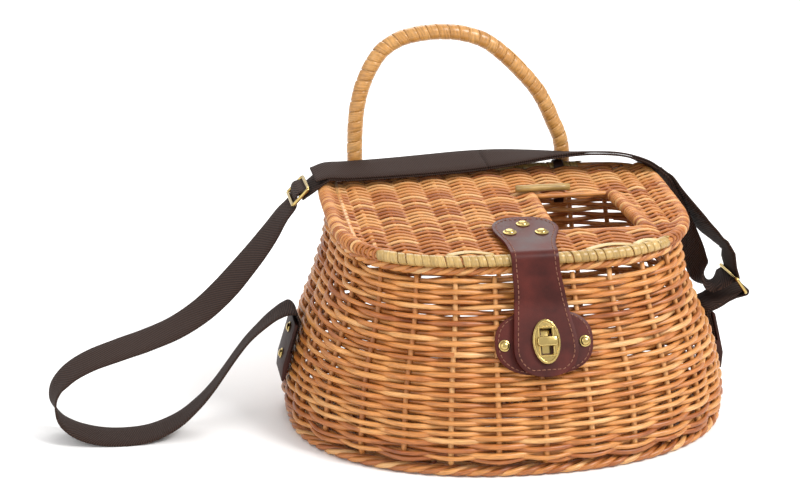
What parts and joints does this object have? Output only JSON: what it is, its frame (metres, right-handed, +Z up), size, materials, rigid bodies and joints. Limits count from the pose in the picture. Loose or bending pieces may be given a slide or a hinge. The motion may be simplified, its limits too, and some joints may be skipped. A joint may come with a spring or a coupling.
{
  "type": "fishing creel bag",
  "caption": "Woven willow fishing creel, pear-shaped with a flat back, hinged lid with a fish hole, leather flap on a turn lock, hooped carrying handle and a webbing shoulder strap.",
  "frame": {"origin": "centre of the basket's underside, on the surface it stands on", "axes": "+Z up, -Y out of the rounded front that carries the leather flap, +X to the viewer's right of that front"},
  "size_m": [0.5923, 0.2626, 0.3107],
  "materials": {
    "willow_body": "buff willow, satin",
    "willow_border": "buff willow, satin",
    "split_cane": "split cane, satin",
    "handle_cane": "split cane, satin",
    "leather": "polished leather",
    "tie_leather": "oiled leather",
    "webbing": "ribbed cotton webbing",
    "brass": "polished brass"
  },
  "bodies": {
    "basket": {"body_wall": "willow_body", "body_floor": "willow_body", "foot_border": "willow_border", "rim_band": "willow_border", "handle": "handle_cane", "handle_lashing_left": "split_cane", "handle_lashing_right": "split_cane", "flap_backing": "leather", "lock_foot": "brass", "backing_rivet_left": "brass", "backing_rivet_right": "brass", "hinge_tie_left": "tie_leather", "hinge_tie_right": "tie_leather", "tab_left": "leather", "tab_right": "leather", "tab_rivet_left_upper": "brass", "tab_rivet_left_lower": "brass", "tab_rivet_right_upper": "brass", "tab_rivet_right_lower": "brass", "strap_slider": "brass", "strap_loop": "webbing", "strap_upper_layer": "webbing", "strap_lower_layer": "webbing", "strap_ring": "brass", "strap_return": "webbing", "ring_strap": "webbing"},
    "lid": {"lid_panel": "willow_body", "lid_frame": "split_cane", "hole_stick": "split_cane", "flap": "leather", "flap_rivet_left": "brass", "flap_rivet_middle": "brass", "flap_rivet_right": "brass", "lock_plate": "brass"},
    "lock": {"lock_knob": "brass"}
  },
  "joints": [
    {"name": "lid_hinge", "type": "hinge", "parent": "basket", "child": "lid", "pos_m": [0, 0.0883, 0.18435], "axis": [-1, 0, 0], "range_deg": [0, 92], "deforming": ["strap_upper_layer", "strap_lower_layer"]},
    {"name": "lock_turn", "type": "hinge", "parent": "basket", "child": "lock", "pos_m": [0.005, -0.1322, 0.10529], "axis": [0, -0.9011, 0.4337], "range_deg": [0, 90]}
  ]
}
